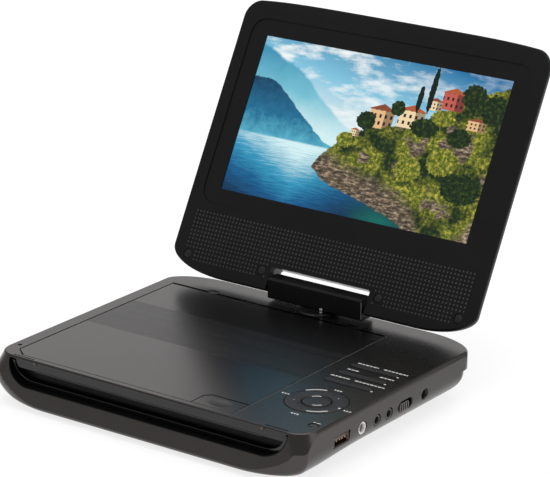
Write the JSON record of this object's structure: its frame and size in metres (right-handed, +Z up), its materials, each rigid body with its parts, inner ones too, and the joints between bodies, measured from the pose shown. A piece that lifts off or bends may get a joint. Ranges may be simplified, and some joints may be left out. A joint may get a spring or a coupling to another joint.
{
  "type": "portable dvd player",
  "caption": "Portable disc player: a wide screen on a swivel and tilt hinge over a flat base with a disc lid, keys, side sockets and rubber feet.",
  "frame": {"origin": "middle of the footprint on the ground, under the rubber feet, with the screen open at its rest angle", "axes": "+Z up, +Y towards the back (the screen faces -Y), +X to the right of a person who looks at the screen"},
  "size_m": [0.1904, 0.2264, 0.1659],
  "materials": {
    "casing": "charcoal satin plastic with a metallic sheen",
    "lid_sheen": "satin charcoal lacquer with a brushed band",
    "gloss_black": "piano black gloss",
    "panel_black": "fine matt black plastic",
    "bezel_black": "satin black moulded plastic",
    "key_black": "satin black keys with pale printed marks",
    "rubber": "black rubber",
    "steel": "nickel plated steel",
    "circuit_board": "green solder mask",
    "deck_black": "black glass-filled plastic",
    "display": null,
    "cell": "shrink-wrapped cells",
    "lens": "coated pickup lens"
  },
  "bodies": {
    "base": {"upper_shell": "casing", "lower_shell": "casing", "front_fascia": "gloss_black", "foot_1": "rubber", "foot_2": "rubber", "foot_3": "rubber", "foot_4": "rubber", "case_screw_1": "steel", "case_screw_2": "steel", "case_screw_3": "steel", "case_screw_4": "steel", "lid_hinge_pin_1": "steel", "lid_hinge_pin_2": "steel", "disc_deck": "deck_black", "spindle_motor": "steel", "sled_rail_1": "steel", "sled_rail_2": "steel", "sled_motor": "steel", "drive_chassis": "steel", "switch_body": "deck_black", "remote_sensor": "gloss_black", "key_mat": "rubber", "key_board": "circuit_board", "main_board": "circuit_board", "battery_pack": "cell", "usb_socket": "steel", "av_jack": "steel", "headphone_jack_1": "rubber", "headphone_jack_2": "rubber", "dc_jack": "rubber", "swivel_washer": "steel"},
    "swivel": {"swivel_turret": "steel", "swivel_retainer": "steel", "hinge_block": "panel_black"},
    "screen": {"hinge_shaft": "steel", "hinge_bracket_1": "steel", "hinge_bracket_2": "steel", "front_bezel": "bezel_black", "rear_shell": "casing", "lcd_panel": "display", "lcd_board": "circuit_board", "speaker_1": "rubber", "speaker_2": "rubber", "screw_plug_1": "rubber", "screw_plug_2": "rubber", "screw_plug_3": "rubber", "screw_plug_4": "rubber"},
    "lid": {"disc_lid": "lid_sheen"},
    "open_key": {"open_button": "lid_sheen"},
    "latch": {"lid_latch": "deck_black"},
    "dpad": {"dpad_ring": "key_black"},
    "ok_key": {"ok_button": "key_black"},
    "rocker_1": {"rocker_key_1": "key_black"},
    "rocker_2": {"rocker_key_2": "key_black"},
    "rocker_3": {"rocker_key_3": "key_black"},
    "power_knob": {"power_switch": "key_black"},
    "hub": {"disc_hub": "key_black"},
    "sled": {"laser_sled": "deck_black", "laser_lens": "lens"},
    "screw_rod": {"lead_screw": "steel"}
  },
  "joints": [
    {"name": "screen_swivel", "type": "hinge", "parent": "base", "child": "swivel", "pos_m": [0, 0.03934, 0.0262], "axis": [0, 0, 1], "range_deg": [-90, 180]},
    {"name": "screen_tilt", "type": "hinge", "parent": "swivel", "child": "screen", "pos_m": [0, 0.04075, 0.0313], "axis": [1, 0, 0], "range_deg": [-60.5, 118.5]},
    {"name": "lid_open", "type": "hinge", "parent": "base", "child": "lid", "pos_m": [0, 0.02944, 0.0241], "axis": [-1, 0, 0], "range_deg": [0, 60]},
    {"name": "open_press", "type": "slide", "parent": "base", "child": "open_key", "axis": [0, 0, -1], "range_m": [0, 0.0008], "stiffness_N_per_m": 400},
    {"name": "latch_slide", "type": "slide", "parent": "base", "child": "latch", "axis": [0, -1, 0], "range_m": [0, 0.0008]},
    {"name": "dpad_rock", "type": "hinge", "parent": "base", "child": "dpad", "pos_m": [0.0725, -0.06706, 0.0216], "axis": [0, 1, 0], "range_deg": [-2.5, 2.5], "stiffness_Nm_per_rad": 0.3},
    {"name": "ok_press", "type": "slide", "parent": "base", "child": "ok_key", "axis": [0, 0, -1], "range_m": [0, 0.0005], "stiffness_N_per_m": 400},
    {"name": "rocker_1_rock", "type": "hinge", "parent": "base", "child": "rocker_1", "pos_m": [0.07225, -0.03966, 0.0216], "axis": [0, 1, 0], "range_deg": [-2, 2], "stiffness_Nm_per_rad": 0.2},
    {"name": "rocker_2_rock", "type": "hinge", "parent": "base", "child": "rocker_2", "pos_m": [0.07225, -0.02796, 0.0216], "axis": [0, 1, 0], "range_deg": [-2, 2], "stiffness_Nm_per_rad": 0.2},
    {"name": "rocker_3_rock", "type": "hinge", "parent": "base", "child": "rocker_3", "pos_m": [0.07225, -0.01656, 0.0216], "axis": [0, 1, 0], "range_deg": [-2, 2], "stiffness_Nm_per_rad": 0.2},
    {"name": "power_slide", "type": "slide", "parent": "base", "child": "power_knob", "axis": [0, 1, 0], "range_m": [0, 0.0025]},
    {"name": "disc_spin", "type": "hinge", "parent": "base", "child": "hub", "pos_m": [-0.018, -0.03666, 0.0192], "axis": [0, 0, 1], "continuous": true},
    {"name": "sled_travel", "type": "slide", "parent": "base", "child": "sled", "axis": [0, -1, 0], "range_m": [0, 0.032]},
    {"name": "lead_screw_turn", "type": "hinge", "parent": "base", "child": "screw_rod", "pos_m": [0.002, -0.07265, 0.0107], "axis": [0, 1, 0], "continuous": true}
  ],
  "couplings": [
    {"joint": "latch_slide", "follows": "open_press", "ratio": 1},
    {"joint": "lead_screw_turn", "follows": "sled_travel", "rad_per_m": 2094.4}
  ]
}
